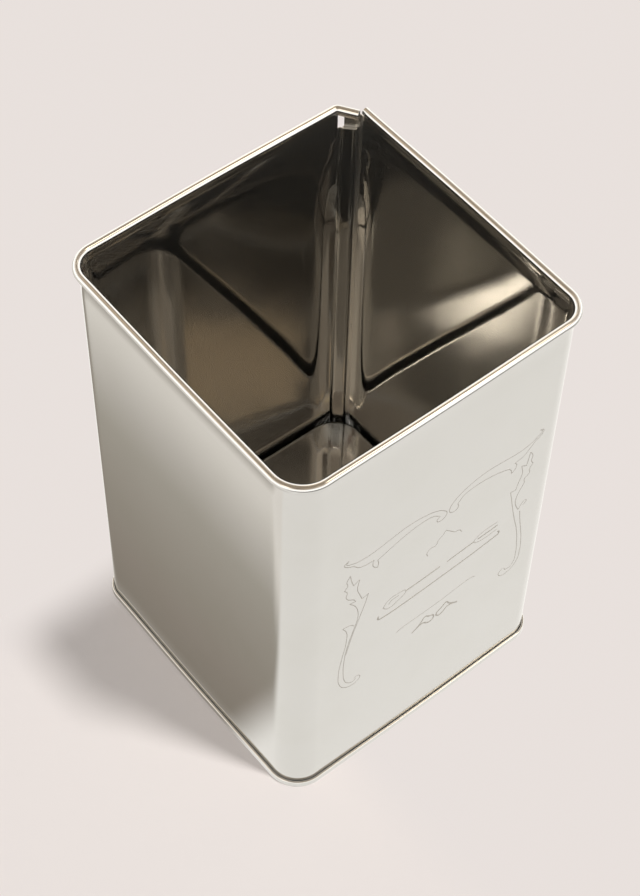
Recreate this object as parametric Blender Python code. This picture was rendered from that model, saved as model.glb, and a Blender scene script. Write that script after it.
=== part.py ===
# Square steel canister that holds kitchen utensils, open at the top.
#
# body_wrap is one sheet bent into a square tube. Its edges hook together in a lock seam at the
# back corner. It has a rolled rim at the mouth and an outward hook at its foot.
# base_panel is the raised floor, the recess wall under it and the edge that is rolled round
# the body's foot hook, which makes a double seam.
#
# Metres, +Z up. The origin is on the surface it stands on, under the middle of the body.
# The engraved face looks along -Y and the lock seam is at the +X +Y corner.

import math

import bmesh
import bpy
import numpy as np

# Overall sizes
WIDTH = 0.110  # outer faces of two opposite walls, at the corners
HEIGHT = 0.180  # standing surface to the top of the rim
CORNER_RADIUS = 0.0107  # outer face of three of the body's upright corners
BACK_CORNER_RADIUS = 0.006  # and of the fourth, which has the lock seam
WALL_CROWN = 0.0005  # how far the middle of each wall bows out
SHEET = 0.0003  # thickness of both sheets
LAP_GAP = 0.00008  # gap left between two sheets that are rolled together

# Rolled rim
RIM_RADIUS = 0.0012  # outer radius of the roll
RIM_TURN = math.radians(300)  # how far the sheet turns round the roll
RIM_REACH = 0.0031  # how far the roll over the lock seam runs past the seam's middle
RIM_TUCK = 0.00275  # its end, out from the middle of the corner's arc

# Lock seam in the back corner
LOCK_WIDTH = 0.004  # between the bends of the two hooks
LOCK_BLEND = math.radians(36)  # the inner sheet meets the corner's arc this far from the middle
LOCK_TOP_DROP = 0.0098  # hooks are cut away this far below the top of the rim
CUT_GAP = 0.0003  # clear slit above and below the hooks, and under the roll

# Double seam at the foot
SEAM_HEIGHT = 0.0028  # standing surface to the top of the rolled edge

# Recessed floor
FLOOR_HEIGHT = 0.0175  # standing surface to the top of the floor
FLOOR_EDGE_RADIUS = 0.0014  # bend at the floor's edge, at the middle of the sheet
FLOOR_CORNER_RADIUS = 0.013  # of the floor's corners, as if it reached the body's outer face
RECESS_LEAN = 0.0009  # how far the recess wall leans in over its height
RECESS_STEP = 0.0032  # height over which the corners of the recess wall grow rounder

# Fineness of the mesh
WALL_STEPS = 4
CORNER_STEPS = 8
BEND_STEPS = 4
FOLD_STEPS = 5
ROLL_STEPS = 9
RUN_STEPS = 3
FLOOR_RING_SHARE = 0.6  # size of the ring inside the floor's edge, as a share of that edge

# Worked out from the sizes above
HALF = WIDTH / 2
CORNER = HALF - CORNER_RADIUS  # middle of each rounder corner's arc, along X and along Y
BACK_CORNER = HALF - BACK_CORNER_RADIUS  # and of the back corner's
SKIN = SHEET / 2  # from a sheet's middle to its face
PITCH = SHEET + LAP_GAP  # from one rolled sheet's middle to the next
WALL_RADIUS = CORNER_RADIUS - SKIN  # rounder corners of the body, at the middle of the sheet
BACK_WALL_RADIUS = BACK_CORNER_RADIUS - SKIN  # its back corner, there too
SEAM_MIDDLE = SKIN + LAP_GAP  # middle of the double seam, out from the wall's outer face
SEAM_FOOT = 2 * PITCH + SKIN  # height of the bend of the body's foot hook
SEAM_HEAD = SEAM_HEIGHT - PITCH - SKIN  # height of the bend of the base's end hook
HOOK_FOOT = SEAM_HEIGHT + RECESS_STEP + CUT_GAP  # where the lock seam's hooks start
HOOK_HEAD = HEIGHT - LOCK_TOP_DROP  # where they end
ROLL_HEIGHT = HEIGHT - RIM_RADIUS  # middle of the roll
ROLL_FOOT = HEIGHT - 2 * RIM_RADIUS - CUT_GAP  # top of the outer sheet below the roll
LOCK_MIDDLE = math.radians(45)  # way that the seam faces
LOCK_HALF = LOCK_WIDTH / 2
LOCK_DEPTH = math.sqrt(BACK_WALL_RADIUS ** 2 - LOCK_HALF ** 2)  # outermost layer, out from the arc's middle
LOCK_FOLD = PITCH - LOCK_HALF  # where the inner hook bends, across from the seam's middle
LOCK_ANGLE = math.asin(LOCK_HALF / BACK_WALL_RADIUS)  # half the seam's width, seen from that middle


def clear_scene():
    for item in list(bpy.data.objects):
        bpy.data.objects.remove(item, do_unlink=True)


def crowned(points):
    """Bows the straight walls out, most at the middle of each."""
    x, y = points[..., 0], points[..., 1]
    bow_x = WALL_CROWN * np.clip(1 - (y / BACK_CORNER) ** 2, 0, None)
    bow_y = WALL_CROWN * np.clip(1 - (x / BACK_CORNER) ** 2, 0, None)
    return np.stack([x + np.sign(x) * bow_x, y + np.sign(y) * bow_y], axis=-1)


def arc(centre, radius, start, end, steps):
    angles = np.linspace(start, end, steps + 1)
    return [(centre[0] + radius * math.cos(a), centre[1] + radius * math.sin(a)) for a in angles]


def line(start, end, steps):
    shares = np.linspace(0, 1, steps + 1)
    return [(start[0] + (end[0] - start[0]) * s, start[1] + (end[1] - start[1]) * s) for s in shares]


def corner_arc(start, end, steps):
    """The sheet's own arc in plan round the back corner."""
    return arc((BACK_CORNER, BACK_CORNER), BACK_WALL_RADIUS, start, end, steps)


def lock_point(across, out):
    """A point in plan near the lock seam, across it and out from the middle of the arc."""
    cosine, sine = math.cos(LOCK_MIDDLE), math.sin(LOCK_MIDDLE)
    return BACK_CORNER + out * cosine - across * sine, BACK_CORNER + out * sine + across * cosine


def lock_layer(across, layer):
    """A point on one of the seam's four flat layers, counted inwards from 0."""
    return lock_point(across, LOCK_DEPTH - layer * PITCH)


def lock_bend(across, layer, radius, start, turn, steps):
    """Part of a bend, with its angles counted from the way that the seam faces."""
    start += LOCK_MIDDLE
    return arc(lock_layer(across, layer), radius, start, start + turn, steps)


def body_plan():
    """The sheet's middle line in plan, as stretches in order round the body.

    Each stretch is (name, points), and each starts where the one before it ends.
    """
    quarter = math.pi / 2
    half_turn = 2 * quarter
    blend = LOCK_MIDDLE + LOCK_BLEND
    inner_run = line(lock_layer(LOCK_FOLD, 3), lock_layer(LOCK_HALF, 3), RUN_STEPS)
    inner_step = lock_bend(LOCK_HALF, 1, 2 * PITCH, half_turn, -quarter / 2, RUN_STEPS)
    stretches = [
        ("inner_hook", line(lock_layer(LOCK_HALF, 1), lock_layer(LOCK_FOLD, 1), RUN_STEPS)),
        ("inner_hook", lock_bend(LOCK_FOLD, 2, PITCH, 0, -half_turn, FOLD_STEPS)),
        ("inner_lap", inner_run),
        ("inner_lap", inner_step),
        ("inner_lap", line(inner_step[-1], corner_arc(blend, blend, 0)[0], 1)),
        ("wall", corner_arc(blend, quarter, RUN_STEPS)),
    ]
    start = stretches[-1][1][-1]
    turns = [(-1, 1), (-1, -1), (1, -1)]
    for count, (side_x, side_y) in enumerate(turns, start=1):
        middle = (side_x * CORNER, side_y * CORNER)
        bend = arc(middle, WALL_RADIUS, count * quarter, (count + 1) * quarter, CORNER_STEPS)
        stretches.append(("wall", line(start, bend[0], WALL_STEPS)))
        stretches.append(("wall", bend))
        start = bend[-1]
    skin = corner_arc(0, LOCK_MIDDLE - LOCK_ANGLE, RUN_STEPS)
    stretches += [
        ("wall", line(start, skin[0], WALL_STEPS)),
        ("outer_lap", skin),
        ("outer_lap", line(skin[-1], lock_layer(LOCK_HALF, 0), BEND_STEPS)),
        ("outer_hook", lock_bend(LOCK_HALF, 1, PITCH, 0, half_turn, FOLD_STEPS)),
        ("outer_hook", line(lock_layer(LOCK_HALF, 2), lock_layer(LOCK_FOLD, 2), RUN_STEPS)),
    ]
    return stretches


def body_plans(plan, names):
    """The plan for each zone of the body's height. Only the sheet's two ends differ."""
    hook = names.count("inner_hook")
    lap = hook + names.count("inner_lap")
    arc_end = lap + RUN_STEPS
    tail = len(names) - names.count("outer_hook")
    skin = tail - names.count("outer_lap")
    # Just below the hooks the outer sheet's end follows the corner's arc, and stops short.
    blend = LOCK_MIDDLE + LOCK_BLEND - CUT_GAP / BACK_WALL_RADIUS
    shoulder = plan.copy()
    shoulder[tail:] = corner_arc(LOCK_MIDDLE + LOCK_ANGLE, blend, len(names) - tail)
    # At the foot all of it does.
    foot = shoulder.copy()
    spokes = foot[skin:] - BACK_CORNER
    foot[skin:] = BACK_CORNER + spokes * BACK_WALL_RADIUS / np.linalg.norm(spokes, axis=1, keepdims=True)
    # Above the hooks the inner sheet's end is a flat tab.
    head = plan.copy()
    head[: hook + 1] = line(lock_layer(-RIM_REACH, 3), lock_layer(LOCK_FOLD, 3), hook)
    # At the roll the tab and the rest of that corner are pressed straight across it.
    roll = plan.copy()
    roll[: arc_end + 1] = line(lock_point(-RIM_REACH, RIM_TUCK), plan[arc_end], arc_end)
    return {"foot": foot, "shoulder": shoulder, "hooks": plan, "head": head, "roll": roll}


def joined(stretches):
    """The points of all stretches once each, and the name of each step between points."""
    points, names = [stretches[0][1][0]], []
    for name, stretch in stretches:
        points += stretch[1:]
        names += [name] * (len(stretch) - 1)
    return np.array(points), names


def side_normals(points, closed=False):
    """Unit normals in plan, to the right of the way that the points run."""
    if closed:
        along = np.roll(points, -1, axis=0) - np.roll(points, 1, axis=0)
    else:
        along = np.gradient(points, axis=0)
    along /= np.linalg.norm(along, axis=1, keepdims=True)
    return np.stack([along[:, 1], -along[:, 0]], axis=1)


def body_profile():
    """The sheet's middle line from the foot hook up to the end of the roll.

    Each row is (out, z, zone), with out counted from the wall's own middle line.
    """
    roll = RIM_RADIUS - SKIN
    foot = arc((PITCH, SEAM_FOOT), PITCH, 0, -math.pi, BEND_STEPS)
    rows = [(2 * PITCH, SEAM_HEAD - LAP_GAP, "foot")] + [(out, z, "foot") for out, z in foot]
    rows.append((0, SEAM_HEIGHT + CUT_GAP, "foot"))
    rows.append((0, HOOK_FOOT - CUT_GAP, "shoulder"))
    rows.append((0, HOOK_FOOT, "hooks"))
    rows.append((0, HOOK_HEAD, "hooks"))
    rows.append((0, HOOK_HEAD + CUT_GAP, "head"))
    rows.append((0, ROLL_FOOT, "roll"))
    turn = arc((roll, ROLL_HEIGHT), roll, math.pi, math.pi - RIM_TURN, ROLL_STEPS)
    return rows + [(out, z, "roll") for out, z in turn]


def body_cells(names, rows):
    """Says for each step round the body, and each step up it, whether there is sheet."""
    zones = [row[2] for row in rows]
    last_foot = zones.index("hooks") - 1
    first_head = zones.index("head")
    first_roll = zones.index("roll")
    rules = {
        "inner_hook": lambda j: last_foot < j < first_head - 1 or j >= first_head,
        "inner_lap": lambda j: j > last_foot,
        "wall": lambda j: True,
        "outer_lap": lambda j: j < first_roll,
        "outer_hook": lambda j: j < last_foot or last_foot < j < first_head - 1,
    }
    return [[rules[name](j) for j in range(len(rows) - 1)] for name in names]


def body_surfaces():
    """Outer and inner face points of the body, and which cells have sheet."""
    plan, names = joined(body_plan())
    rows = body_profile()
    plans = body_plans(plan, names)
    profile = np.array([(row[0], row[1]) for row in rows])
    outer, inner = [], []
    for (out, z, zone), (face_out, face_up) in zip(rows, side_normals(profile)):
        points = crowned(plans[zone])
        normals = side_normals(points)
        for faces, side in ((outer, SKIN), (inner, -SKIN)):
            flat = points + normals * (out + side * face_out)
            faces.append(np.column_stack([flat, np.full(len(flat), z + side * face_up)]))
    cells = body_cells(names, rows)
    return np.array(outer).swapaxes(0, 1), np.array(inner).swapaxes(0, 1), cells


def ring(half, radius, back_radius):
    """A rounded square, with the same steps on every ring."""
    bends = []
    for count, (side_x, side_y) in enumerate([(1, 1), (-1, 1), (-1, -1), (1, -1)]):
        start = count * math.pi / 2
        bend_radius = radius if count else back_radius
        middle = half - bend_radius
        bends.append(arc((side_x * middle, side_y * middle), bend_radius, start, start + math.pi / 2,
                         CORNER_STEPS))
    points = []
    for bend, following in zip(bends, bends[1:] + bends[:1]):
        points += bend[:-1] + line(bend[-1], following[0], WALL_STEPS)[:-1]
    return crowned(np.array(points))


def base_rows():
    """The base's middle line, from the floor out and down, round the seam to its hook.

    Each row is (out, z, floor): out from the body's outer face, and whether its corners are
    the floor's and not the body's.
    """
    chuck = -SHEET - PITCH + SKIN  # recess wall inside the body's wall
    recess = chuck - RECESS_LEAN  # its top, below the floor's bend
    bend_z = FLOOR_HEIGHT - SKIN - FLOOR_EDGE_RADIUS
    rows = [(recess - FLOOR_EDGE_RADIUS + FLOOR_EDGE_RADIUS * math.cos(a),
             bend_z + FLOOR_EDGE_RADIUS * math.sin(a), True)
            for a in np.linspace(math.pi / 2, 0, BEND_STEPS + 1)]
    step_share = RECESS_STEP / (bend_z - SEAM_HEIGHT)
    rows.append((chuck - RECESS_LEAN * step_share, SEAM_HEIGHT + RECESS_STEP, True))
    rows.append((chuck, SEAM_HEIGHT, False))
    foot_z = SKIN + PITCH
    down = 3 * math.pi / 2
    inner = arc((SEAM_MIDDLE - PITCH, foot_z), PITCH, math.pi, down, BEND_STEPS)
    outer = arc((SEAM_MIDDLE + PITCH, foot_z), PITCH, down, 2 * math.pi, BEND_STEPS)
    head = arc((SEAM_MIDDLE + PITCH, SEAM_HEAD), PITCH, 0, math.pi, BEND_STEPS)
    rows += [(out, z, False) for out, z in inner + outer + head]
    rows.append((SEAM_MIDDLE, SEAM_FOOT, False))
    return rows


def base_surfaces():
    """Upper and lower face points of the base. The first ring lies on the flat floor."""
    rows = base_rows()
    edge_out, edge_z, _ = rows[0]
    share = FLOOR_RING_SHARE
    edge_radius = (FLOOR_CORNER_RADIUS + edge_out) * share
    shapes = [((HALF + edge_out) * share, edge_radius, edge_radius, edge_z)]
    for out, z, floor in rows:
        radii = [FLOOR_CORNER_RADIUS] * 2 if floor else [CORNER_RADIUS, BACK_CORNER_RADIUS]
        shapes.append((HALF + out, radii[0] + out, radii[1] + out, z))
    grid = []
    for half, radius, back_radius, z in shapes:
        flat = ring(half, radius, back_radius)
        grid.append(np.column_stack([flat, np.full(len(flat), z)]))
    grid = np.array(grid).swapaxes(0, 1)
    around = np.roll(grid, -1, axis=0) - np.roll(grid, 1, axis=0)
    outwards = np.gradient(grid, axis=1)
    normals = np.cross(outwards, around)
    normals /= np.linalg.norm(normals, axis=2, keepdims=True)
    normals[:, :2] = (0, 0, 1)
    return grid + SKIN * normals, grid - SKIN * normals


def sheet_mesh(name, outer, inner, cells, closed):
    """A closed mesh from two faces of a sheet: quads on each, and quads along each free edge."""
    steps, rows = len(cells), len(cells[0])
    count = outer.shape[0]
    mesh = bmesh.new()
    made = {}

    def corner(side, i, j):
        key = (side, i % count, j)
        if key not in made:
            made[key] = mesh.verts.new((outer if side else inner)[key[1], j])
        return made[key]

    def has(i, j):
        if closed:
            i %= steps
        return 0 <= i < steps and 0 <= j < rows and cells[i][j]

    for i in range(steps):
        for j in range(rows):
            if not cells[i][j]:
                continue
            loop = [(i, j), (i + 1, j), (i + 1, j + 1), (i, j + 1)]
            mesh.faces.new([corner(True, *at) for at in loop])
            mesh.faces.new([corner(False, *at) for at in reversed(loop)])
            sides = [(i, j - 1), (i + 1, j), (i, j + 1), (i - 1, j)]
            for side, beyond in enumerate(sides):
                if has(*beyond) or (closed and beyond[1] < 0):
                    continue
                start, end = loop[side], loop[(side + 1) % 4]
                mesh.faces.new([corner(False, *start), corner(False, *end),
                                corner(True, *end), corner(True, *start)])
    if closed:
        for side in (True, False):
            mesh.faces.new([corner(side, i, 0) for i in range(count)])
    bmesh.ops.recalc_face_normals(mesh, faces=mesh.faces)
    data = bpy.data.meshes.new(name)
    mesh.to_mesh(data)
    mesh.free()
    return data


def steel(name, colour, roughness):
    material = bpy.data.materials.new(name)
    material.use_nodes = True
    shader = material.node_tree.nodes["Principled BSDF"]
    shader.inputs["Base Color"].default_value = (*colour, 1)
    shader.inputs["Metallic"].default_value = 1
    shader.inputs["Roughness"].default_value = roughness
    material.diffuse_color = (*colour, 1)
    return material


def add_sheet(name, surfaces, closed, material):
    outer, inner, cells = surfaces
    data = sheet_mesh(name, outer, inner, cells, closed)
    data.materials.append(material)
    data.shade_smooth()
    data.set_sharp_from_angle(angle=math.radians(40))
    item = bpy.data.objects.new(name, data)
    bpy.context.scene.collection.objects.link(item)
    return item


def build():
    clear_scene()
    body_steel = steel("body_steel", (0.66, 0.65, 0.62), 0.08)
    base_steel = steel("base_steel", (0.60, 0.59, 0.57), 0.12)
    add_sheet("body_wrap", body_surfaces(), False, body_steel)
    upper, lower = base_surfaces()
    cells = [[True] * (upper.shape[1] - 1)] * upper.shape[0]
    add_sheet("base_panel", (upper, lower, cells), True, base_steel)


build()
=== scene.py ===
import math

import bpy
from mathutils import Matrix, Vector


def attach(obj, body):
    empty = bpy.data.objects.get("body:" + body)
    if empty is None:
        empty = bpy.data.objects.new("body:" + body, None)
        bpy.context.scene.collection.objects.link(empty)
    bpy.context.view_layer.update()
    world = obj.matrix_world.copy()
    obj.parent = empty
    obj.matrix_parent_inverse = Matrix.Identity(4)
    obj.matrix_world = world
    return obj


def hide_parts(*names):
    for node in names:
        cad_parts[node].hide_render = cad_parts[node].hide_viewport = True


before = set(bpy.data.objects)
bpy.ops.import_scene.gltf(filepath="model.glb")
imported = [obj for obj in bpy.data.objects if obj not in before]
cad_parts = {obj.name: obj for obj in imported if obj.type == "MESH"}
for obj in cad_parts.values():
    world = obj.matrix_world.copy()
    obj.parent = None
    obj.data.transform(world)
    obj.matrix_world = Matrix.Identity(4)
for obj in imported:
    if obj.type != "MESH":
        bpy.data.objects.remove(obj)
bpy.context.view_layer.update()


# modelling by hand: a point is drawn into a line, and a line is swept into a sheet

def clearSelection():
    if bpy.context.object and bpy.context.object.mode != "OBJECT":
        bpy.ops.object.mode_set(mode="OBJECT")
    bpy.ops.object.select_all(action="DESELECT")


def startLine(name, place):
    clearSelection()
    bpy.ops.mesh.primitive_plane_add(size=0.001, location=place)
    piece = bpy.context.object
    piece.name = name
    piece.data.name = name
    bpy.ops.object.transform_apply(location=True, rotation=False, scale=False)
    bpy.ops.object.mode_set(mode="EDIT")
    bpy.ops.mesh.select_mode(type="VERT")
    bpy.ops.mesh.select_all(action="SELECT")
    bpy.ops.mesh.merge(type="CENTER")
    return piece


def pull(step, count=1):
    part = Vector(step) / count
    for _ in range(count):
        bpy.ops.mesh.extrude_region_move(TRANSFORM_OT_translate={"value": part})


def turn(centre, axis, angle, count):
    bpy.ops.mesh.spin(steps=count, angle=-angle, center=centre, axis=axis)  # spin counts clockwise


def selectAll():
    bpy.ops.mesh.select_all(action="SELECT")


def weld():
    selectAll()
    bpy.ops.mesh.remove_doubles(threshold=can["weld"])


def pickFaces(piece, test):
    # chooses the faces whose middle passes the test, in edit mode
    bpy.ops.mesh.select_all(action="DESELECT")
    bpy.ops.mesh.select_mode(type="FACE")
    bpy.ops.object.mode_set(mode="OBJECT")
    for face in piece.data.polygons:
        face.select = test(face.center)
    bpy.ops.object.mode_set(mode="EDIT")


def pickRims(piece, test):
    # chooses the open edges whose ends both pass the test, in edit mode
    bpy.ops.mesh.select_mode(type="EDGE")
    bpy.ops.mesh.select_all(action="DESELECT")
    bpy.ops.mesh.select_non_manifold(extend=False, use_wire=False, use_multi_face=False,
                                     use_non_contiguous=False, use_verts=False)
    bpy.ops.object.mode_set(mode="OBJECT")
    points = piece.data.vertices
    kept = [edge for edge in piece.data.edges
            if edge.select and all(test(points[at].co) for at in edge.vertices)]
    for part in list(piece.data.edges) + list(points):
        part.select = False
    for edge in kept:
        edge.select = True
        for at in edge.vertices:
            points[at].select = True
    bpy.ops.object.mode_set(mode="EDIT")


def closeSheet(piece):
    # welds what was swept, gives the sheet its thickness and smooths it
    weld()
    bpy.ops.mesh.normals_make_consistent(inside=False)
    bpy.ops.object.mode_set(mode="OBJECT")
    wall = piece.modifiers.new("sheet", "SOLIDIFY")
    wall.thickness = can["sheet"]
    wall.offset = 0
    bpy.ops.object.modifier_apply(modifier="sheet")
    bpy.ops.object.shade_smooth_by_angle(angle=math.radians(can["smooth"]))


# the square plan that every swept piece follows

can = {
    "height": 0.180,
    "cornerMiddle": 0.04435,  # of the front corner's arc, along X and Y
    "sideMiddle": 0.0468,  # of the two beside it, which the photo shows tighter
    "seamMiddle": 0.049,  # and of the seam corner's
    "seamRadius": 0.00585,  # of that arc, at the middle of the sheet
    "sheet": 0.0003,
    "layer": 0.00038,  # from one folded layer to the next
    "sideSteps": 60,
    "cornerSteps": 24,
    "rows": 30,
    "weld": 0.00001,  # points closer than this become one
    "near": 0.0001,  # how closely a place is met when faces and edges are picked
    "smooth": 35,  # degrees
}
up = Vector((0, 0, 1))


def sweepSides(corners, first, last, skipped=0):
    # sweeps the chosen line round the sides and corners, counted from the +Y side
    for count in range(first, last + 1):
        facing = math.pi / 2 * (count // 2 + 1)
        ahead = Vector((math.cos(facing), math.sin(facing), 0))
        left = Vector((-ahead.y, ahead.x, 0))
        here = corners[count // 2]
        if count % 2 == 0:
            pull(left * (corners[count // 2 - 1] + here - skipped), can["sideSteps"])
            skipped = 0
        else:
            turn((ahead + left) * here, up, math.pi / 2, can["cornerSteps"])


def bodyCorners():
    return [can["sideMiddle"], can["cornerMiddle"], can["sideMiddle"], can["seamMiddle"]]


def profileSpot(along, out):
    # places on a profile that stands across the +Y side
    def spot(away, height):
        return Vector((along, out + away, height))
    return spot


# body sheet: foot hook, wall and rolled rim in one profile

rim = {
    "radius": 0.00125,  # of the roll, at the middle of the sheet
    "inward": 0.00060,  # how far the roll stands in from the wall
    "lead": 40,  # degrees that the wall leans in before it rolls
    "leadRadius": 0.0005,
    "turned": 300,  # degrees
    "steps": 36,
    "ripple": (0.1747, 0.00008, 0.0006),  # a faint crease below: its height, depth and half height
}
foot = {
    "hookTop": 0.00219,
    "bend": 0.00091,  # height of the hook's bend
    "hookRoot": 0.0035,
    "wallTop": 0.0060,  # of the short stretch under the lock seam
}
lock = {
    "half": 0.0020,  # half the seam's width
    "fold": -0.00162,  # where the inner hook bends, across the seam
    "bottom": 0.0063,
    "top": 0.1702,  # hooks end here, and the tab starts
    "skinTop": 0.1766,
    "step": 50,  # degrees that the inner sheet turns as it leaves the seam
    "blend": 36,  # degrees from the seam's middle, where it meets the corner's arc
    "bendStart": 0.0479,  # the rim turns off to the tab here
    "bendRadius": 0.0012,
    "chordFacing": 33.3,  # degrees, the way that the tab faces
    "chordLength": 0.0066,
    "footGap": 0.05,  # radians between the two edges under the hooks
}
rollHeight = can["height"] - can["sheet"] / 2 - rim["radius"]


def drawRim(spot, startHeight):
    # the last of the wall, its lean inwards and the roll, from the chosen point
    lead, radius, bend = math.radians(rim["lead"]), rim["radius"], rim["leadRadius"]
    middle = spot(radius - rim["inward"], rollHeight)
    rollStart = middle - Vector((0, math.cos(lead), math.sin(lead))) * radius
    leanStart = spot(-bend, 0) + Vector((0, math.cos(lead), 0)) * bend
    drop = (leanStart.y - rollStart.y) / math.tan(lead) + bend * math.sin(lead)
    bendHeight = rollStart.z - drop
    pull((0, 0, bendHeight - startHeight), 2)
    turn(spot(-bend, bendHeight), (1, 0, 0), lead, 4)
    here = Vector((leanStart.x, leanStart.y, bendHeight + bend * math.sin(lead)))
    pull(rollStart - here)
    turn(middle, (1, 0, 0), -math.radians(rim["turned"]), rim["steps"])


def drawHook(spot, across):
    pull((0, 0, foot["bend"] - foot["hookTop"]))
    turn(spot(can["layer"], foot["bend"]), across, -math.pi, 8)
    pull((0, 0, foot["hookRoot"] - foot["bend"]), 2)
    pull((0, 0, foot["wallTop"] - foot["hookRoot"]))


def makeBody():
    middle, radius = can["seamMiddle"], can["seamRadius"]
    spot = profileSpot(middle, middle + radius)
    body = startLine("bodySheet", spot(2 * can["layer"], foot["hookTop"]))
    drawHook(spot, (1, 0, 0))
    height, depth, half = rim["ripple"]
    pull((0, 0, height - half - foot["wallTop"]), can["rows"])
    pull((0, depth, half))
    pull((0, -depth, half))
    drawRim(spot, height + half)
    selectAll()
    # a short first step, so that the rim can leave the wall where it turns to the tab
    first = middle - lock["bendStart"]
    pull((-first, 0, 0))
    sweepSides(bodyCorners(), 0, 6, skipped=first)
    weld()
    pickFaces(body, lambda at: at.z > lock["skinTop"] and at.x > lock["bendStart"] and at.y > middle)
    bpy.ops.mesh.delete(type="FACE")
    closeSheet(body)
    return body


def cornerSpot(angle, height, away=0):
    # a place on the seam corner's own arc
    reach = can["seamRadius"] + away
    middle = can["seamMiddle"]
    return Vector((middle + reach * math.cos(angle), middle + reach * math.sin(angle), height))


def makeLock():
    # both edges of the sheet, drawn in plan and pulled up
    middle, radius, half, fold = can["seamMiddle"], can["seamRadius"], lock["half"], lock["fold"]
    low = lock["bottom"]
    depth = math.sqrt(radius ** 2 - half ** 2)
    side = math.sqrt(0.5)
    corner = (middle, middle, 0)

    def layerSpot(across, layer):
        out = depth - layer * can["layer"]
        return Vector((middle + side * (out - across), middle + side * (out + across), low))

    inner = startLine("lockInner", layerSpot(half, 1))
    pull(layerSpot(fold, 1) - layerSpot(half, 1))
    turn(layerSpot(fold, 2), up, -math.pi, 10)
    pull(layerSpot(half, 3) - layerSpot(fold, 3), 4)
    bend = -math.radians(lock["step"])
    turn(layerSpot(half, 1), up, bend, 8)
    here = layerSpot(half, 1) + Matrix.Rotation(bend, 3, "Z") @ (layerSpot(half, 3) - layerSpot(half, 1))
    blend = math.radians(45 + lock["blend"])
    pull(cornerSpot(blend, low) - here, 3)
    turn(corner, up, math.pi / 2 - blend, 6)
    selectAll()
    pull((0, 0, lock["top"] - low), can["rows"])
    closeSheet(inner)

    outer = startLine("lockOuter", cornerSpot(0, low))
    turn(corner, up, math.pi / 4 - math.asin(half / radius), 12)
    pull(layerSpot(half, 0) - layerSpot(-half, 0), 4)
    turn(layerSpot(half, 1), up, math.pi, 10)
    pull(layerSpot(fold, 2) - layerSpot(half, 2))
    selectAll()
    pull((0, 0, lock["top"] - low), can["rows"])
    # only the outermost layer goes on up to the rim
    skin = depth - can["layer"] / 10
    bpy.ops.mesh.select_all(action="DESELECT")
    bpy.ops.object.mode_set(mode="OBJECT")
    for point in outer.data.vertices:
        away = (point.co.x + point.co.y - 2 * middle) * side
        seamSide = (point.co.y - point.co.x) * side
        point.select = point.co.z > lock["top"] - can["near"] and (seamSide < -half or away > skin)
    bpy.ops.object.mode_set(mode="EDIT")
    pull((0, 0, lock["skinTop"] - lock["top"]), 3)
    closeSheet(outer)
    return inner, outer


def makeSeamFoot():
    # under the hooks the outer edge of the sheet goes on round the corner by itself
    blend = math.radians(45 + lock["blend"])
    pieces = []
    for name, start, end, steps in (("seamFootOuter", 0, blend - lock["footGap"], 24),
                                    ("seamFootInner", blend, math.pi / 2, 4)):
        def spot(away, height):
            return cornerSpot(start, height, away)
        piece = startLine(name, spot(2 * can["layer"], foot["hookTop"]))
        drawHook(spot, (math.sin(start), -math.cos(start), 0))
        selectAll()
        turn((can["seamMiddle"], can["seamMiddle"], 0), up, end - start, steps)
        closeSheet(piece)
        pieces.append(piece)
    return pieces


def makeTab():
    # the inner sheet's end above the hooks: it is turned off the corner and rolled straight across
    spot = profileSpot(lock["bendStart"], can["seamMiddle"] + can["seamRadius"])
    tab = startLine("rimTab", spot(0, lock["skinTop"]))
    drawRim(spot, lock["skinTop"])
    selectAll()
    facing = math.radians(lock["chordFacing"])
    turn(spot(-lock["bendRadius"], 0), up, facing - math.pi / 2, 12)
    pull(Vector((math.sin(facing), -math.cos(facing), 0)) * lock["chordLength"], 12)
    closeSheet(tab)
    return tab


# the shape that the flat-sided sheet takes: each side bows, and the seam corner is pulled in

shape = {
    "bows": {"+Y": (0.00036, 0.00036), "-X": (0.00040, -0.00025),
             "-Y": (0.00036, 0.00030), "+X": (0.00036, 0.00036)},  # at the foot and at the rim
    "depth": 0.0046,  # how far in the seam stands, along the diagonal
    "tightReach": 0.0039,
    "wideReach": 0.014,
    "wideShare": 0.15,
    "lowEnd": (0.005, 0.035),  # heights over which it comes in and goes out again
    "highEnd": (0.125, 0.171),
}


def fade(low, high, value):
    # 0 below low, 1 above high, and smooth between
    part = min(max((value - low) / (high - low), 0), 1)
    return part * part * (3 - 2 * part)


def shapeSheet(piece, eased=True):
    middle = can["seamMiddle"]
    side = math.sqrt(0.5)
    for vertex in piece.data.vertices:
        x, y, z = vertex.co
        rise = z / can["height"]
        if abs(x) < middle:
            low, high = shape["bows"]["+Y" if y > 0 else "-Y"]
            vertex.co.y += math.copysign((low + (high - low) * rise) * (1 - (x / middle) ** 2) ** 2, y)
        if abs(y) < middle:
            low, high = shape["bows"]["+X" if x > 0 else "-X"]
            vertex.co.x += math.copysign((low + (high - low) * rise) * (1 - (y / middle) ** 2) ** 2, x)
        if eased and x + y > 0:
            off = max(abs(x - y) * side - lock["half"], 0)
            tight = math.exp(-(off / shape["tightReach"]) ** 2) * (1 - shape["wideShare"])
            wide = math.exp(-(off / shape["wideReach"]) ** 2) * shape["wideShare"]
            along = fade(*shape["lowEnd"], z) * (1 - fade(*shape["highEnd"], z))
            inward = shape["depth"] * (tight + wide) * along * side
            vertex.co.x -= inward
            vertex.co.y -= inward


body = makeBody()
lockInner, lockOuter = makeLock()
bodyPieces = [body, lockInner, lockOuter, makeTab()] + makeSeamFoot()
for piece in bodyPieces:
    shapeSheet(piece)
print("body made:", ", ".join(piece.name for piece in bodyPieces))


# base: seamed edge, recess wall and floor in one sheet

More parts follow.
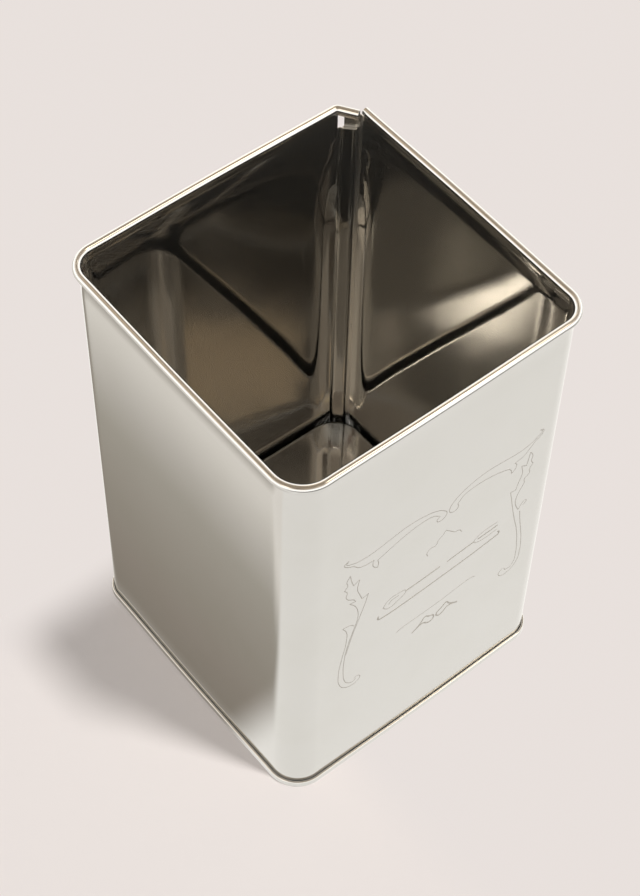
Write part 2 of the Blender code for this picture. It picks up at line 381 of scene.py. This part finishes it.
base = {
    "floor": 0.0175,
    "edge": 0.0014,  # radius where the floor turns down
    "cornerRadius": 0.01172,
    "lean": 0.0008,  # how far the recess wall stands in from the seam
    "seamTop": 0.0028,
    "skirt": (0.0034, 0.0062),  # heights between which the seam runs over to the recess wall
    "turnedIn": 0.0006,  # level stretch past the floor's edge
    "inset": 0.001,
    "steps": 6,
}


def makeBase():
    middle, radius = can["seamMiddle"], can["seamRadius"]
    layer, skin = can["layer"], can["sheet"] / 2
    spot = profileSpot(middle, middle + radius)
    along = (1, 0, 0)
    head = base["seamTop"] - layer - skin
    low = skin + layer
    edge = startLine("basePanel", spot(-layer, base["skirt"][0]))
    pull((0, 0, low - base["skirt"][0]), 2)
    turn(spot(0, low), along, math.pi / 2, base["steps"])
    pull((0, 2 * layer, 0))
    turn(spot(2 * layer, low), along, math.pi / 2, base["steps"])
    pull((0, 0, head - low))
    turn(spot(2 * layer, head), along, math.pi, base["steps"] * 2)
    pull((0, 0, foot["bend"] - head))
    selectAll()
    sweepSides(bodyCorners(), 0, 7)
    weld()

    panMiddle = middle + radius - layer - base["lean"] - base["cornerRadius"]
    panSpot = profileSpot(panMiddle, panMiddle + base["cornerRadius"])
    top = base["floor"] - skin
    pan = startLine("pan", panSpot(0, base["skirt"][1]))
    pull((0, 0, top - base["edge"] - base["skirt"][1]), 3)
    turn(panSpot(-base["edge"], top - base["edge"]), along, math.pi / 2, 12)
    pull((0, -base["turnedIn"], 0))
    selectAll()
    sweepSides([panMiddle] * 4, 0, 7)
    weld()
    pickRims(pan, lambda at: at.z > top - can["near"])
    bpy.ops.mesh.edge_face_add()
    bpy.ops.mesh.inset(thickness=base["inset"])
    bpy.ops.object.mode_set(mode="OBJECT")

    bpy.ops.object.select_all(action="DESELECT")
    pan.select_set(True)
    edge.select_set(True)
    bpy.context.view_layer.objects.active = edge
    bpy.ops.object.join()
    bpy.ops.object.mode_set(mode="EDIT")
    low, high = base["skirt"][0] - can["near"], base["skirt"][1] + can["near"]
    pickRims(edge, lambda at: low < at.z < high)
    bpy.ops.mesh.bridge_edge_loops(number_cuts=2, interpolation="LINEAR")
    closeSheet(edge)
    return edge


basePanel = makeBase()
shapeSheet(basePanel, eased=False)
print("base made,", len(basePanel.data.polygons), "faces")


# etched ornament on the -Y face: strokes through points along X and up Z, in millimetres

etching = {
    "face": -0.0550,
    "line": 0.00017,  # half a stroke's width
    "bold": 0.00034,
    "relief": 0.12,  # share of the stroke's width that stands out
    "fine": [
        [(-34.4, 128.3), (-35.3, 127.2), (-33.4, 125.6), (-30, 124.3), (-25, 124.1), (-19, 125),
         (-11.5, 126.1),
         (-5, 125.4), (0, 123.7), (3.3, 121.2), (4.8, 118.6), (3.9, 116.9), (2.1, 116.5),
         (0.8, 117.7), (1.9, 119.5)],
        [(-34.4, 128.3), (-36.1, 127.4), (-35, 125.4), (-32.4, 123.5), (-30.6, 121.2),
         (-28, 119.9), (-24.4, 119.6)],
        [(-24.4, 119.6), (-24.8, 117.2), (-23.8, 114.9), (-22.7, 114)],
        [(-22.7, 114), (-22.5, 116), (-22.9, 118.1)],
        [(-22.9, 118.1), (-18, 119.9), (-12, 121.8), (-5.4, 122.6), (-1, 121.8), (1.4, 119.9)],
        [(42.5, 129.9), (43.6, 128.6), (41.6, 126.8), (38, 125.4), (33, 125.2), (27, 126.1),
         (20, 126.8), (12.5, 125.4),
         (8.2, 123.2), (6.1, 120.6), (5.9, 118.2), (7.1, 116.8), (8.7, 116.8), (9.6, 118),
         (9.1, 119.6)],
        [(42.5, 129.9), (44.2, 128.8), (43.6, 126.8), (41, 125.2), (39.2, 123.3), (36.6, 121.1),
         (33, 120.4)],
        [(33, 120.4), (34, 118.6), (33.4, 116.7), (32, 115.6)],
        [(32, 115.6), (31.7, 117.6), (30.6, 119.2)],
        [(30.6, 119.2), (27, 120.8), (21.6, 122.4), (16, 122.9), (11.6, 122.2), (9.1, 119.6)],
        [(-33.6, 119.2), (-34.9, 116.8), (-34.5, 114.3), (-35.7, 112.6)],
        [(-35.7, 112.6), (-34.5, 110.4), (-34.9, 108.2), (-33.9, 105.9), (-31.8, 104),
         (-30.9, 102.2)],
        [(-30.9, 102.2), (-33.3, 102.9)],
        [(-33.3, 102.9), (-31.2, 99.8), (-29.9, 96), (-29.7, 91), (-31.4, 84.6), (-33.3, 77.5),
         (-34.4, 70),
         (-34.6, 62), (-33.9, 56.3), (-32.4, 53.3), (-30.4, 52), (-28.9, 52.6)],
        [(-33.6, 119.2), (-33, 115.6), (-32.1, 112.4)],
        [(-32.1, 112.4), (-29.8, 113.7)],
        [(-29.8, 113.7), (-30.4, 108.4), (-29.3, 104.4), (-28.3, 101.2)],
        [(-28.3, 101.2), (-25.8, 102)],
        [(-25.8, 102), (-27.2, 96.4), (-29.4, 89.4), (-31.8, 81.5), (-33.8, 73)],
        [(-30.9, 87.6), (-32.6, 89.6), (-35.6, 90.3)],
        [(-35.6, 90.3), (-34, 86.6), (-34, 80), (-35.5, 71.5), (-36.6, 62.5), (-35.8, 55),
         (-33.4, 51.3), (-30.4, 50),
         (-27.9, 50.7), (-27.3, 52.5), (-28.5, 53.9), (-29.9, 53.2)],
        [(39.7, 120.6), (41, 117.8), (40.7, 115.2), (41.7, 113)],
        [(41.7, 113), (40.4, 110.8), (40.7, 108.7), (38.8, 107), (39, 104.6)],
        [(39, 104.6), (37.3, 101.4), (36.1, 97), (36.9, 92.8), (38.1, 90.1)],
        [(38.1, 90.1), (39.1, 92), (40.6, 93.2), (41.4, 92.4), (40, 91)],
        [(39.7, 120.6), (39.2, 117.2), (38.7, 114.2)],
        [(38.7, 114.2), (36.5, 115.8)],
        [(36.5, 115.8), (37.3, 111), (36.3, 107.4), (35.3, 103.6)],
        [(35.3, 103.6), (33.1, 104.1)],
        [(33.1, 104.1), (34, 99.8), (35.2, 93.6), (37.1, 85), (38.9, 77.5), (40, 69.5),
         (40.4, 62), (40, 57.6),
         (38.4, 55.5), (36.4, 55.7), (35.7, 57.2)],
        [(39, 88.4), (39.7, 83.4), (40.8, 77), (41.9, 69.5), (42.2, 62), (41.4, 56.6),
         (39, 53.7), (36, 53),
         (33.7, 54.4), (33.4, 56.5), (35, 57.6)],
        [(-1.7, 100.3), (-2.1, 102.3), (-0.5, 103.8), (1.5, 103.5), (2.3, 105.5), (4, 106.8),
         (5.3, 108.5)],
        [(5.3, 108.5), (6.7, 106.9), (8.1, 105.3), (9.3, 103.9), (11.4, 103.1), (12.4, 101.2)],
        [(-12.4, 64.7), (-11, 65.3), (5, 65.9), (20, 66.8), (21.6, 66)],
        # a spoon and a fork
        [(-19.2, 86.4), (-17.4, 89), (-13.4, 89.6), (-9.8, 87.9), (-13, 85.2), (-17, 84.3),
         (-19.2, 86.4)],
        [(-16.9, 86.7), (-15.4, 88), (-12.8, 88)],
        [(29, 91.4), (22.8, 91.5), (20.2, 90.7), (18.9, 89.2), (20.3, 87.6), (23, 86.9),
         (29.1, 87)],
    ],
    "heavy": [
        [(-21, 83.2), (-21, 81.6), (-19.4, 80.9), (5, 81.5), (28, 83.1), (30.3, 83.7),
         (29.8, 85.2)],
        [(-9.8, 87.9), (-3, 88.1), (4.4, 88.5)],
        [(7.4, 88.5), (13, 88.9), (18.9, 89.2)],
        [(20.6, 89.2), (29.2, 89.3)],
    ],
    "leaf": [(-5.4, 57.1), (-3, 58.7), (-1.3, 60.4), (-0.1, 62.1), (1.8, 60.8), (3.7, 59.6),
             (3.9, 57.8), (2.3, 56.8),
             (0.7, 57.7), (-0.7, 58.9), (-2.4, 58.6), (-5.4, 57.1)],
    "leafAxis": 4.6,
}


def makeEtching():
    leaf = etching["leaf"]
    mirrored = [(2 * etching["leafAxis"] - x, z) for x, z in leaf]
    heavy = etching["heavy"] + [leaf, mirrored]
    pieces = []
    for width, strokes in ((etching["line"], etching["fine"]), (etching["bold"], heavy)):
        drawing = bpy.data.curves.new("stroke", "CURVE")
        drawing.dimensions = "3D"
        drawing.bevel_depth = width
        drawing.bevel_resolution = 1
        drawing.resolution_u = 6
        drawing.use_fill_caps = True
        for points in strokes:
            stroke = drawing.splines.new("BEZIER")
            stroke.bezier_points.add(len(points) - 1)
            for knot, (x, z) in zip(stroke.bezier_points, points):
                knot.co = (x / 1000, 0, z / 1000)
                knot.handle_left_type = "AUTO"
                knot.handle_right_type = "AUTO"
        piece = bpy.data.objects.new("faceEtching", drawing)
        bpy.context.scene.collection.objects.link(piece)
        pieces.append(piece)
    clearSelection()
    for piece in pieces:
        piece.select_set(True)
    bpy.context.view_layer.objects.active = pieces[0]
    bpy.ops.object.convert(target="MESH")
    bpy.ops.object.join()
    piece = bpy.context.object
    piece.scale.y = etching["relief"]
    piece.location.y = etching["face"]
    bpy.ops.object.transform_apply(location=True, rotation=False, scale=True)
    shapeSheet(piece, eased=False)
    return piece


faceEtching = makeEtching()
print("ornament made,", len(faceEtching.data.polygons), "faces")


# shader nodes: an expression on sockets adds its Math nodes

class Sock:
    def __init__(self, maker, socket):
        self.maker = maker
        self.socket = socket

    def math(self, operation, first, second=0):
        return self.maker.add("ShaderNodeMath", {"operation": operation}, {0: first, 1: second})

    def __add__(self, other):
        return self.math("ADD", self, other)

    def __sub__(self, other):
        return self.math("SUBTRACT", self, other)

    def __rsub__(self, other):
        return self.math("SUBTRACT", other, self)

    def __mul__(self, other):
        return self.math("MULTIPLY", self, other)

    def __truediv__(self, other):
        return self.math("DIVIDE", self, other)

    def __rtruediv__(self, other):
        return self.math("DIVIDE", other, self)

    def __pow__(self, other):
        return self.math("POWER", self, other)

    __radd__ = __add__
    __rmul__ = __mul__


class Maker:
    def __init__(self, owner):
        owner.use_nodes = True
        self.tree = owner.node_tree
        self.tree.nodes.clear()

    def add(self, kind, settings=None, sockets=None, out=0):
        node = self.tree.nodes.new(kind)
        for name, value in (settings or {}).items():
            if name == "stops":
                ramp = node.color_ramp
                while len(ramp.elements) < len(value):
                    ramp.elements.new(0.5)
                for stop, (place, colour) in zip(ramp.elements, value):
                    stop.position = place
                    stop.color = (*colour, 1)
            else:
                setattr(node, name, value)
        for key, value in (sockets or {}).items():
            if isinstance(value, Sock):
                self.tree.links.new(value.socket, node.inputs[key])
            else:
                node.inputs[key].default_value = value
        return Sock(self, node.outputs[out]) if node.outputs else None

    def mix(self, factor, first, second, blend="MIX"):
        colours = {6: first if isinstance(first, Sock) else (*first, 1),
                   7: second if isinstance(second, Sock) else (*second, 1), 0: factor}
        return self.add("ShaderNodeMix", {"data_type": "RGBA", "blend_type": blend}, colours, out=2)

    def noise(self, place, scale, detail=2, rough=0.5):
        return self.add("ShaderNodeTexNoise", None,
                        {"Vector": place, "Scale": scale, "Detail": detail, "Roughness": rough})

    def stretched(self, place, scale):
        return self.add("ShaderNodeMapping", None, {"Vector": place, "Scale": scale})

    def metal(self, colour, rough, bump):
        return self.add("ShaderNodeBsdfPrincipled", None,
                        {"Base Color": colour, "Metallic": 1, "Roughness": rough, "Normal": bump})

    def place(self):
        return self.add("ShaderNodeTexCoord", out=3)

    def parts(self, vector):
        outputs = self.add("ShaderNodeSeparateXYZ", None, {0: vector}).socket.node.outputs
        return [Sock(self, part) for part in outputs]

    def rays(self, *names):
        outputs = self.add("ShaderNodeLightPath").socket.node.outputs
        return [Sock(self, outputs[name]) for name in names]

    def step(self, value, ends):
        return self.add("ShaderNodeMapRange", {"interpolation_type": "SMOOTHSTEP"},
                        {0: value, 1: ends[0], 2: ends[1], 3: 0.0, 4: 1.0})


# steel: polished sheet with faint rolling lines, cloudy patches and a slight waviness

steelLook = {
    "colour": (0.58, 0.575, 0.56),
    "clouded": (0.565, 0.56, 0.54),
    "rough": 0.035,
    "worn": 0.24,  # roughness of the seam's pressed layer
    "cloudRough": 0.02,
    "lineRough": 0.015,
    "cloudScale": 38,
    "cloudEnds": (0.45, 0.75),
    "lineScale": 2600,
    "lineStretch": 0.02,
    "wave": 0.00005,  # metres
    "waveScale": 34,
    "waveStretch": 0.45,
    "baseWave": 1.5,  # the base is this much wavier
    "haze": 0.13,  # share of the light that the fine scratches scatter
    "hazeRough": 0.5,
    "etched": (0.38, 0.36, 0.33),
    "etchedRough": 0.45,
    "grain": 3000,
    "grainDepth": 0.00002,
    "grainEnds": (0.94, 1.06),
}


def makeSteel(name, wave, base):
    material = bpy.data.materials.new(name)
    nodes = Maker(material)
    place = nodes.place()
    cloud = nodes.noise(place, steelLook["cloudScale"], 4, 0.6)
    lines = nodes.noise(nodes.stretched(place, (1, 1, steelLook["lineStretch"])), steelLook["lineScale"], 2)
    waves = nodes.noise(nodes.stretched(place, (1, 1, steelLook["waveStretch"])),
                        steelLook["waveScale"], 1, 0.4)
    start, end = steelLook["cloudEnds"]
    patches = nodes.add("ShaderNodeValToRGB", {"stops": [(start, (0, 0, 0)), (end, (1, 1, 1))]}, {0: cloud})
    colour = nodes.mix(patches, steelLook["colour"], steelLook["clouded"])
    rough = base + patches * steelLook["cloudRough"] + lines * steelLook["lineRough"]
    bump = nodes.add("ShaderNodeBump", None, {"Strength": 1, "Distance": wave, "Height": waves})
    shine = nodes.metal(colour, rough, bump)
    haze = nodes.metal(colour, steelLook["hazeRough"], bump)
    shader = nodes.add("ShaderNodeMixShader", None, {0: steelLook["haze"], 1: shine, 2: haze})
    nodes.add("ShaderNodeOutputMaterial", None, {"Surface": shader})
    return material


def makeEtched():
    material = bpy.data.materials.new("etchedSteel")
    nodes = Maker(material)
    grain = nodes.noise(nodes.place(), steelLook["grain"])
    low, high = steelLook["grainEnds"]
    colour = nodes.mix(grain, etchedShade(low), etchedShade(high))
    bump = nodes.add("ShaderNodeBump", None,
                     {"Strength": 0.2, "Distance": steelLook["grainDepth"], "Height": grain})
    shader = nodes.metal(colour, steelLook["etchedRough"], bump)
    nodes.add("ShaderNodeOutputMaterial", None, {"Surface": shader})
    return material


def etchedShade(level):
    return tuple(part * level for part in steelLook["etched"])


faceEtching.data.materials.append(makeEtched())
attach(faceEtching, "root")
bodySteel = makeSteel("bodySteel", steelLook["wave"], steelLook["rough"])
wornSteel = makeSteel("wornSteel", steelLook["wave"], steelLook["worn"])
baseSteel = makeSteel("baseSteel", steelLook["wave"] * steelLook["baseWave"], steelLook["rough"])
for piece in bodyPieces:
    piece.data.materials.append(wornSteel if piece is lockOuter else bodySteel)
    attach(piece, "root")
    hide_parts("body_wrap")
basePanel.data.materials.append(baseSteel)
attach(basePanel, "root")
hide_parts("base_panel")
print("steel made")


# stage, light and camera

studio = {
    "floorSize": 6,
    "paper": (0.81, 0.75, 0.72),
    "sun": 2.27,
    "sunSize": 6.5,  # degrees
    "sunFrom": (-63, 22.5),  # degrees round from +X, and down from straight up
    "fill": 0.32,
    "ownLight": 0.23,  # share of the paper's colour that the shadow leaves, to the camera
    "shadowEnds": (0.040, 0.066),  # along Y, where the paper is lit evenly again
    "shadowStarts": (-0.045, -0.020),  # along X
    # what the steel shows of the paper: a painted shadow beside the -X face, and dark far out along -Y
    "mirrored": (1.225, 1.19, 1.13),
    "shadeWidth": 0.100,
    "shade": [(0.05, (0.285, 0.258, 0.226)), (0.13, (0.315, 0.284, 0.252)), (0.23, (0.345, 0.32, 0.283)),
              (0.33, (0.385, 0.36, 0.323)), (0.43, (0.43, 0.41, 0.37)), (0.53, (0.58, 0.56, 0.53)),
              (0.68, (0.84, 0.82, 0.79)), (0.80, (0.95, 0.93, 0.91))],
    "shadeStarts": (-0.036, -0.014),  # along Y
    "shadeEnds": (-0.060, -0.045),  # along X
    "paperEnds": (-0.42, -0.26),  # along Y
    "pastPaper": 0.26,
    # dim overhead and pale towards the horizon: share of a right angle from straight up
    "overhead": [(0.0, (0.42, 0.33, 0.24)), (0.28, (0.45, 0.36, 0.26)), (0.40, (0.68, 0.56, 0.43)),
                 (0.50, (0.82, 0.70, 0.56)), (0.62, (1.5, 1.4, 1.28)), (0.75, (2.1, 2.04, 1.96))],
    # soft areas: round from +X, down from straight up, half width, half height, edge, colour
    "areas": [
        (-168, 45, 13, 6.5, 1.5, (3.5, 3.0, 2.4)),
        (-160, 32, 18, 3.5, 1.5, (0.26, 0.20, 0.15)),
        (-143, 28, 14, 12, 2, (0.30, 0.24, 0.18)),
        (-112, 45, 24, 5, 1.5, (0.42, 0.33, 0.25)),
        (-119, 29, 12, 3, 1.5, (0.85, 0.68, 0.42)),
        (-124, 36.3, 9, 1.8, 2, (0.10, 0.08, 0.06)),
        (-124, 39.5, 4, 1.2, 2, (0.75, 0.60, 0.42)),
        (-84, 41, 8, 2, 1.5, (1.4, 1.1, 0.8)),
        (-70, 46, 18, 2.8, 2, (0.50, 0.36, 0.26)),
        (-54, 55, 18, 6, 2, (3.2, 3.1, 2.9)),
        (-30, 28.5, 18, 6, 3, (5.6, 4.6, 3.4)),
        (-48.5, 39.5, 4, 2.6, 3, (2.1, 1.8, 1.45)),
        (-46.7, 41.0, 3.7, 1.4, 3, (15.5, 14, 12)),
        (-44.2, 37.7, 2.5, 1.7, 4, (0.12, 0.10, 0.07)),
        (-41, 39, 1.1, 0.8, 3, (1.4, 1.15, 0.9)),
        (-25, 38.5, 14, 3.4, 2, (1.4, 1.2, 0.95)),
        (-20, 45.5, 24, 3.2, 2, (0.50, 0.36, 0.28)),
        (15, 38, 10, 8, 2, (0.42, 0.34, 0.27)),
        (33, 42.4, 2.2, 1.2, 2, (4.6, 4.1, 3.3)),
        (44.5, 41.6, 1.8, 1.1, 3, (2.5, 2.15, 1.7)),
        (56, 41.4, 7, 3.4, 3, (0.16, 0.12, 0.07)),
        (55, 50.5, 5, 5, 2, (2.8, 2.3, 1.7)),
        (64, 38, 6, 5, 2, (0.42, 0.31, 0.22)),
        (104, 34, 14, 2.2, 1.5, (1.1, 0.80, 0.48)),
        (127, 38.1, 4.5, 1.5, 3, (1.7, 1.25, 0.78)),
        (123.5, 41.3, 6.5, 1.7, 3, (0.04, 0.03, 0.02)),
        (121.6, 37.9, 1.5, 1.0, 2, (0.17, 0.13, 0.09)),
        (125, 32.5, 12, 3, 2, (0.18, 0.14, 0.11)),
        (148, 47, 8, 4, 1.5, (2.0, 1.6, 1.1)),
    ],
}


def makeStage():
    clearSelection()
    bpy.ops.mesh.primitive_plane_add(size=studio["floorSize"], location=(0, 0, 0))
    floor = bpy.context.object
    floor.name = "floor"
    paper = bpy.data.materials.new("paper")
    nodes = Maker(paper)
    x, y, _ = nodes.parts(nodes.place())
    seen, mirrored = nodes.rays("Is Camera Ray", "Is Glossy Ray")
    inShadow = (1 - nodes.step(y, studio["shadowEnds"])) * (1 - nodes.step(x, studio["shadowStarts"]))
    own = 1 - inShadow * (1 - studio["ownLight"])
    # painted shadow: the paper that the steel reflects is an emission, darkened beside the -X face by the
    # shade stops, not by the sun
    beside = nodes.add("ShaderNodeValToRGB", {"stops": studio["shade"]},
                       {0: (x + can["seamMiddle"] + can["seamRadius"]) / -studio["shadeWidth"]})
    shaded = nodes.step(y, studio["shadeStarts"]) * (1 - nodes.step(x, studio["shadeEnds"]))
    shade = nodes.mix(shaded, (1, 1, 1), beside)
    far = nodes.mix(nodes.step(y, studio["paperEnds"]), (studio["pastPaper"],) * 3, (1, 1, 1))
    pale = nodes.mix(1.0, nodes.mix(1.0, shade, far, "MULTIPLY"), studio["mirrored"], "MULTIPLY")
    matt = nodes.add("ShaderNodeBsdfDiffuse", None, {"Color": (*studio["paper"], 1)})
    glow = nodes.add("ShaderNodeEmission", None, {"Color": (*studio["paper"], 1)})
    shown = nodes.add("ShaderNodeMixShader", None, {0: seen * own, 1: matt, 2: glow})
    # the steel sees this emission, painted shadow and all, in place of the lit paper
    reflected = nodes.add("ShaderNodeEmission", None, {"Color": pale})
    mixed = nodes.add("ShaderNodeMixShader", None, {0: mirrored, 1: shown, 2: reflected})
    nodes.add("ShaderNodeOutputMaterial", None, {"Surface": mixed})
    floor.data.materials.append(paper)


def makeSurroundings():
    world = bpy.data.worlds.new("studio")
    bpy.context.scene.world = world
    nodes = Maker(world)
    x, y, z = nodes.parts(nodes.add("ShaderNodeTexCoord", out=0))
    degree = 180 / math.pi
    around = x.math("ARCTAN2", y, x) * degree
    down = z.math("ARCCOSINE", z) * degree
    colour = nodes.add("ShaderNodeValToRGB", {"stops": studio["overhead"]}, {0: down / 90})
    for azimuth, polar, width, height, edge, tone in studio["areas"]:
        aside = nodes.add("ShaderNodeMath", {"operation": "WRAP"}, {0: around - azimuth, 1: 180, 2: -180})
        reach = (aside / width) ** 2 + ((down - polar) / height) ** 2
        mask = reach.math("EXPONENT", reach ** edge * -1)
        colour = nodes.mix(mask, colour, tone)
    seen, mirrored = nodes.rays("Is Camera Ray", "Is Glossy Ray")
    lit = nodes.mix(mirrored, (studio["fill"],) * 3, colour)
    # past the floor's edge the camera sees the same pale paper
    light = nodes.add("ShaderNodeBackground", None, {"Color": nodes.mix(seen, lit, studio["paper"])})
    nodes.add("ShaderNodeOutputWorld", None, {"Surface": light})


def makeSun():
    clearSelection()
    azimuth, polar = (math.radians(angle) for angle in studio["sunFrom"])
    level = math.sin(polar)
    away = Vector((level * math.cos(azimuth), level * math.sin(azimuth), math.cos(polar)))
    bpy.ops.object.light_add(type="SUN", location=away)
    sun = bpy.context.object
    sun.data.energy = studio["sun"]
    sun.data.angle = math.radians(studio["sunSize"])
    sun.rotation_euler = away.to_track_quat("Z", "Y").to_euler()
    sun.visible_glossy = False


cameraView = {
    "place": (-0.262472, -0.310714, 0.656819),
    "target": (0, 0, 0.07333),
    "fine": (-0.019448, 0.000432, 0.029429),  # small turns that the fit added, in the view's own axes
    "lens": 84.724,
    "sensor": 36,
    "clip": 0.01,
}


def makeCamera():
    place = Vector(cameraView["place"])
    target = Vector(cameraView["target"])
    ahead = (target - place).normalized()
    right = ahead.cross(up).normalized()
    upright = right.cross(ahead)
    fine = Vector(cameraView["fine"])
    aimed = Matrix((right, -upright, ahead))
    turned = Matrix.Rotation(fine.length, 3, fine.normalized()) @ aimed
    view = Matrix((turned[0], -turned[1], -turned[2])).transposed()
    bpy.ops.object.camera_add(location=place)
    camera = bpy.context.object
    camera.matrix_world = Matrix.Translation(place) @ view.to_4x4()
    camera.data.lens = cameraView["lens"]
    camera.data.sensor_width = cameraView["sensor"]
    camera.data.clip_start = cameraView["clip"]
    bpy.context.scene.camera = camera


makeStage()
makeSurroundings()
makeSun()
makeCamera()
bpy.context.scene.view_settings.view_transform = "Standard"
print("stage, light and camera made")
